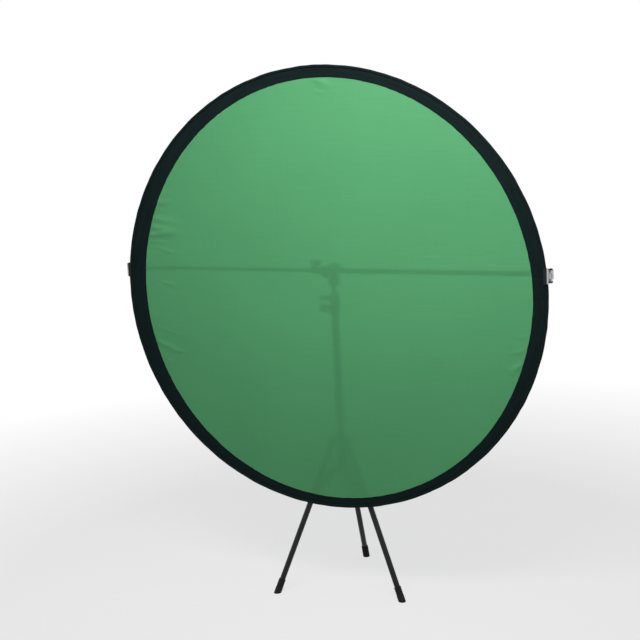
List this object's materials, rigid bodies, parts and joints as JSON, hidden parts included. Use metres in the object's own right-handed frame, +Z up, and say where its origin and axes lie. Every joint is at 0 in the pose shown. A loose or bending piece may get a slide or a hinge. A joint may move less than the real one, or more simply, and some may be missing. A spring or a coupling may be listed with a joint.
{
  "type": "round backdrop on a light stand",
  "caption": "Round pop-up green cloth backdrop with a black bound rim, gripped at both sides by a telescoping clip arm on a folding tripod light stand.",
  "frame": {"origin": "on the floor, at the middle of the whole footprint box", "axes": "+Z up, the cloth faces -Y, +X to the right of someone looking at the cloth; the arm runs along X"},
  "size_m": [1.46, 0.4166, 1.6958],
  "materials": {
    "green_cloth": "thin matte weave that lets light through",
    "black_nylon": "ribbed woven tape, dull",
    "black_tube": "black anodised, satin",
    "black_brace": "black powder coat",
    "black_plastic": "fine moulded grain",
    "black_rubber": "matt",
    "bright_steel": "bright, lightly brushed"
  },
  "bodies": {
    "stand": {"base_tube": "black_tube", "lower_lock": "black_plastic", "brace_hub": "black_plastic", "brace_hub_pins": "bright_steel"},
    "leg_slider": {"leg_hub": "black_plastic", "leg_hub_pins": "bright_steel"},
    "leg_lock": {"leg_hub_knob": "black_plastic"},
    "left_leg_body": {"left_leg": "black_tube", "left_foot": "black_rubber"},
    "right_leg_body": {"right_leg": "black_tube", "right_foot": "black_rubber"},
    "rear_leg_body": {"rear_leg": "black_tube", "rear_foot": "black_rubber"},
    "left_brace_body": {"left_brace": "black_brace", "left_rivets": "bright_steel"},
    "right_brace_body": {"right_brace": "black_brace", "right_rivets": "bright_steel"},
    "rear_brace_body": {"rear_brace": "black_brace", "rear_rivets": "bright_steel"},
    "lower_knob": {"lower_lock_knob": "black_plastic"},
    "middle_section": {"middle_tube": "black_tube", "upper_lock": "black_plastic"},
    "upper_knob": {"upper_lock_knob": "black_plastic"},
    "top_section": {"top_tube": "black_tube", "stud": "bright_steel"},
    "head": {"head_socket": "black_plastic"},
    "stud_lock": {"stud_knob": "black_plastic"},
    "tilt_lock": {"tilt_knob": "black_plastic"},
    "block": {"arm_block": "black_plastic"},
    "arm": {"arm_tube": "black_tube", "arm_lock": "black_plastic", "right_clip_body": "black_plastic", "right_clip_pad": "black_rubber", "right_clip_pin": "bright_steel", "right_clip_spring": "bright_steel", "cloth_panel": "green_cloth", "rim_binding": "black_nylon", "binding_overlap": "black_nylon", "spring_hoop": "bright_steel", "hoop_ferrule": "bright_steel"},
    "arm_knob": {"arm_lock_knob": "black_plastic"},
    "rod": {"arm_rod": "black_tube", "rod_bush": "black_plastic", "left_clip_body": "black_plastic", "left_clip_pad": "black_rubber", "left_clip_pin": "bright_steel", "left_clip_spring": "bright_steel"},
    "right_clip_jaw": {"right_jaw": "black_brace", "right_jaw_tip": "black_rubber"},
    "left_clip_jaw": {"left_jaw": "black_brace", "left_jaw_tip": "black_rubber"}
  },
  "joints": [
    {"name": "hub_slide", "type": "slide", "parent": "stand", "child": "leg_slider", "axis": [0, 0, 1], "range_m": [-0.0156, 0]},
    {"name": "left_leg_spread", "type": "hinge", "parent": "leg_slider", "child": "left_leg_body", "pos_m": [-0.02098, -0.06075, 0.50055], "axis": [-0.6293, 0.7771, 0], "range_deg": [-23.3, 0]},
    {"name": "left_brace_swing", "type": "hinge", "parent": "stand", "child": "left_brace_body", "pos_m": [-0.02021, -0.06012, 0.40255], "axis": [-0.6293, 0.7771, 0], "range_deg": [-43.2, 0]},
    {"name": "right_leg_spread", "type": "hinge", "parent": "leg_slider", "child": "right_leg_body", "pos_m": [0.02521, -0.05343, 0.50055], "axis": [-0.3584, -0.9336, 0], "range_deg": [-23.3, 0]},
    {"name": "right_brace_swing", "type": "hinge", "parent": "stand", "child": "right_brace_body", "pos_m": [0.02427, -0.05307, 0.40255], "axis": [-0.3584, -0.9336, 0], "range_deg": [-43.2, 0]},
    {"name": "rear_leg_spread", "type": "hinge", "parent": "leg_slider", "child": "rear_leg_body", "pos_m": [-0.00422, -0.01709, 0.50055], "axis": [0.9877, 0.1564, 0], "range_deg": [-23.3, 0]},
    {"name": "rear_brace_swing", "type": "hinge", "parent": "stand", "child": "rear_brace_body", "pos_m": [-0.00407, -0.01808, 0.40255], "axis": [0.9877, 0.1564, 0], "range_deg": [-43.2, 0]},
    {"name": "middle_rise", "type": "slide", "parent": "stand", "child": "middle_section", "axis": [0, 0, 1], "range_m": [0, 0.42]},
    {"name": "top_rise", "type": "slide", "parent": "middle_section", "child": "top_section", "axis": [0, 0, 1], "range_m": [0, 0.42]},
    {"name": "head_swivel", "type": "hinge", "parent": "top_section", "child": "head", "pos_m": [0, -0.04376, 1.05525], "axis": [0, 0, 1], "range_deg": [-2, 18]},
    {"name": "arm_tilt", "type": "hinge", "parent": "head", "child": "block", "pos_m": [0, -0.08776, 1.05525], "axis": [0, 1, 0], "range_deg": [-35, 75]},
    {"name": "arm_roll", "type": "hinge", "parent": "block", "child": "arm", "pos_m": [0, -0.08776, 1.05925], "axis": [1, 0, 0], "range_deg": [-90, 0]},
    {"name": "arm_extend", "type": "slide", "parent": "arm", "child": "rod", "axis": [-1, 0, 0], "range_m": [0, 0.1]},
    {"name": "right_jaw_open", "type": "hinge", "parent": "arm", "child": "right_clip_jaw", "pos_m": [0.72499, -0.12276, 1.05925], "axis": [0, 0, 1], "range_deg": [0, 25], "stiffness_Nm_per_rad": 1.2, "springref_deg": -17.19},
    {"name": "left_jaw_open", "type": "hinge", "parent": "rod", "child": "left_clip_jaw", "pos_m": [-0.72499, -0.12276, 1.05925], "axis": [0, 0, -1], "range_deg": [0, 25], "stiffness_Nm_per_rad": 1.2, "springref_deg": -17.19},
    {"name": "leg_knob_turn", "type": "hinge", "parent": "leg_slider", "child": "leg_lock", "pos_m": [0.01554, -0.03117, 0.50355], "axis": [0.7771, 0.6293, 0], "range_deg": [0, 360]},
    {"name": "lower_knob_turn", "type": "hinge", "parent": "stand", "child": "lower_knob", "pos_m": [-0.02, -0.04376, 0.93205], "axis": [-1, 0, 0], "range_deg": [0, 360]},
    {"name": "upper_knob_turn", "type": "hinge", "parent": "middle_section", "child": "upper_knob", "pos_m": [-0.02, -0.04376, 0.96325], "axis": [-1, 0, 0], "range_deg": [0, 360]},
    {"name": "stud_knob_turn", "type": "hinge", "parent": "head", "child": "stud_lock", "pos_m": [0, -0.01876, 1.01825], "axis": [0, 1, 0], "range_deg": [0, 360]},
    {"name": "tilt_knob_turn", "type": "hinge", "parent": "head", "child": "tilt_lock", "pos_m": [0, -0.01876, 1.05525], "axis": [0, 1, 0], "range_deg": [0, 360]},
    {"name": "arm_knob_turn", "type": "hinge", "parent": "arm", "child": "arm_knob", "pos_m": [-0.041, -0.08776, 1.07925], "axis": [0, 0, 1], "range_deg": [0, 360]}
  ],
  "couplings": [
    {"joint": "hub_slide", "follows": "left_leg_spread", "m_per_rad": 0.03814},
    {"joint": "left_brace_swing", "follows": "left_leg_spread", "ratio": 1.8525},
    {"joint": "right_leg_spread", "follows": "left_leg_spread", "ratio": 1},
    {"joint": "right_brace_swing", "follows": "left_leg_spread", "ratio": 1.8525},
    {"joint": "rear_leg_spread", "follows": "left_leg_spread", "ratio": 1},
    {"joint": "rear_brace_swing", "follows": "left_leg_spread", "ratio": 1.8525}
  ]
}
